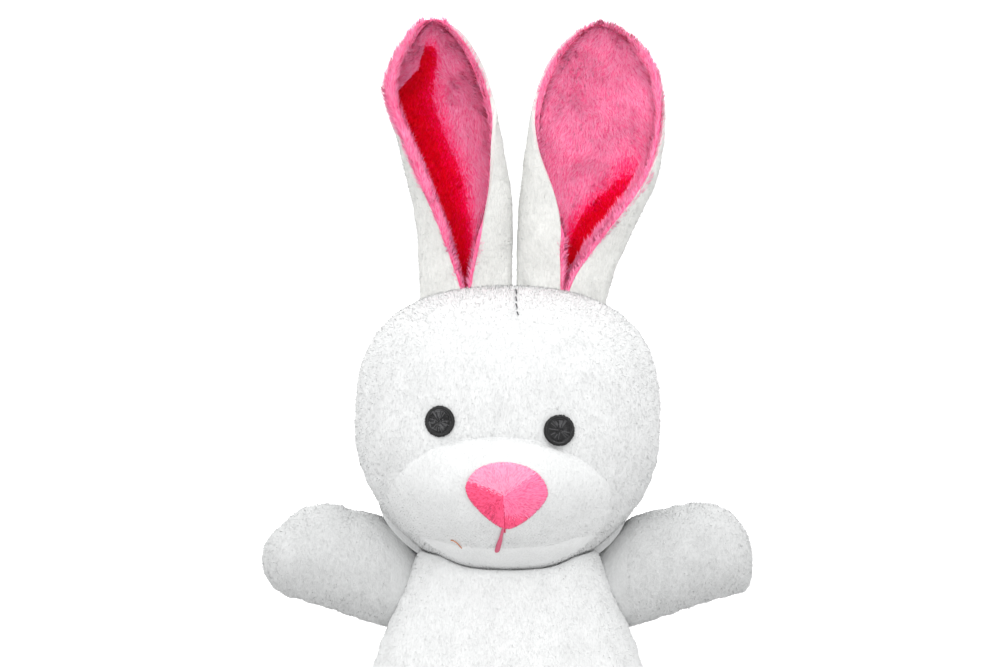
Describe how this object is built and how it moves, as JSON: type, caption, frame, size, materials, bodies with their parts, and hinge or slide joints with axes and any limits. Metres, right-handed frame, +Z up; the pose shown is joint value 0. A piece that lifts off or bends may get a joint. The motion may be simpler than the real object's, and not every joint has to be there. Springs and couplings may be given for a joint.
{
  "type": "rabbit hand puppet",
  "caption": "Plush rabbit glove puppet with a stuffed turning head, floppy lined ears, mitten arms and a finger pocket in the head.",
  "frame": {"origin": "middle of the hand opening, on the hem", "axes": "+Z up through the head, -Y out of the face, +X towards the puppet's own left hand"},
  "size_m": [0.1718, 0.1034, 0.3255],
  "materials": {
    "white_plush": "short pile",
    "pink_plush": "long pile",
    "rose_thread": "satin stitch",
    "black_thread": "satin stitch",
    "tan_thread": "thread",
    "white_thread": "thread",
    "cotton_lining": "plain weave",
    "wadding": "loose fibre"
  },
  "bodies": {
    "glove": {"glove_front_panel": "white_plush", "glove_back_panel": "white_plush", "glove_front_lining": "cotton_lining", "glove_back_lining": "cotton_lining", "hem_turn_up": "white_plush"},
    "neck_cloth": {"neck_lining_edge": "cotton_lining"},
    "neck_hem": {"pocket_hem": "cotton_lining"},
    "head": {"head_front_left_panel": "white_plush", "head_front_right_panel": "white_plush", "head_back_panel": "white_plush", "head_fill": "wadding", "finger_pocket": "cotton_lining", "muzzle_panel": "white_plush", "muzzle_fill": "wadding", "left_eye": "black_thread", "right_eye": "black_thread", "nose_embroidery": "rose_thread", "mouth_stitch": "rose_thread", "forehead_stitches": "black_thread", "chin_thread": "tan_thread", "neck_stitches": "white_thread"},
    "left_ear": {"left_ear_outer": "white_plush", "left_ear_lining": "pink_plush"},
    "right_ear": {"right_ear_outer": "white_plush", "right_ear_lining": "pink_plush"},
    "left_arm": {"left_arm_front_panel": "white_plush", "left_arm_back_panel": "white_plush", "left_arm_lining": "cotton_lining", "left_paw_fill": "wadding"},
    "right_arm": {"right_arm_front_panel": "white_plush", "right_arm_back_panel": "white_plush", "right_arm_lining": "cotton_lining", "right_paw_fill": "wadding"}
  },
  "joints": [
    {"name": "head_turn", "type": "hinge", "parent": "glove", "child": "neck_cloth", "pos_m": [0, 0, 0.18], "axis": [0, 0, 1], "range_deg": [-35, 35], "stiffness_Nm_per_rad": 0.15},
    {"name": "head_nod", "type": "hinge", "parent": "neck_cloth", "child": "neck_hem", "pos_m": [0, 0, 0.18], "axis": [1, 0, 0], "range_deg": [-18, 10], "stiffness_Nm_per_rad": 0.3},
    {"name": "head_tilt", "type": "hinge", "parent": "neck_hem", "child": "head", "pos_m": [0, 0, 0.18], "axis": [0, 1, 0], "range_deg": [-12, 12], "stiffness_Nm_per_rad": 0.3},
    {"name": "left_ear_flop", "type": "hinge", "parent": "head", "child": "left_ear", "pos_m": [0.018, 0.005, 0.2315], "axis": [1, 0, 0], "range_deg": [-15, 18], "stiffness_Nm_per_rad": 0.03},
    {"name": "right_ear_flop", "type": "hinge", "parent": "head", "child": "right_ear", "pos_m": [-0.0142, 0.005, 0.2318], "axis": [1, 0, 0], "range_deg": [-15, 18], "stiffness_Nm_per_rad": 0.03},
    {"name": "left_arm_swing", "type": "hinge", "parent": "glove", "child": "left_arm", "pos_m": [0.039, 0.008, 0.13], "axis": [0, 0.2588, -0.9659], "range_deg": [-12, 40], "stiffness_Nm_per_rad": 0.05},
    {"name": "right_arm_swing", "type": "hinge", "parent": "glove", "child": "right_arm", "pos_m": [-0.039, 0.008, 0.13], "axis": [0, -0.2588, 0.9659], "range_deg": [-12, 40], "stiffness_Nm_per_rad": 0.05}
  ]
}
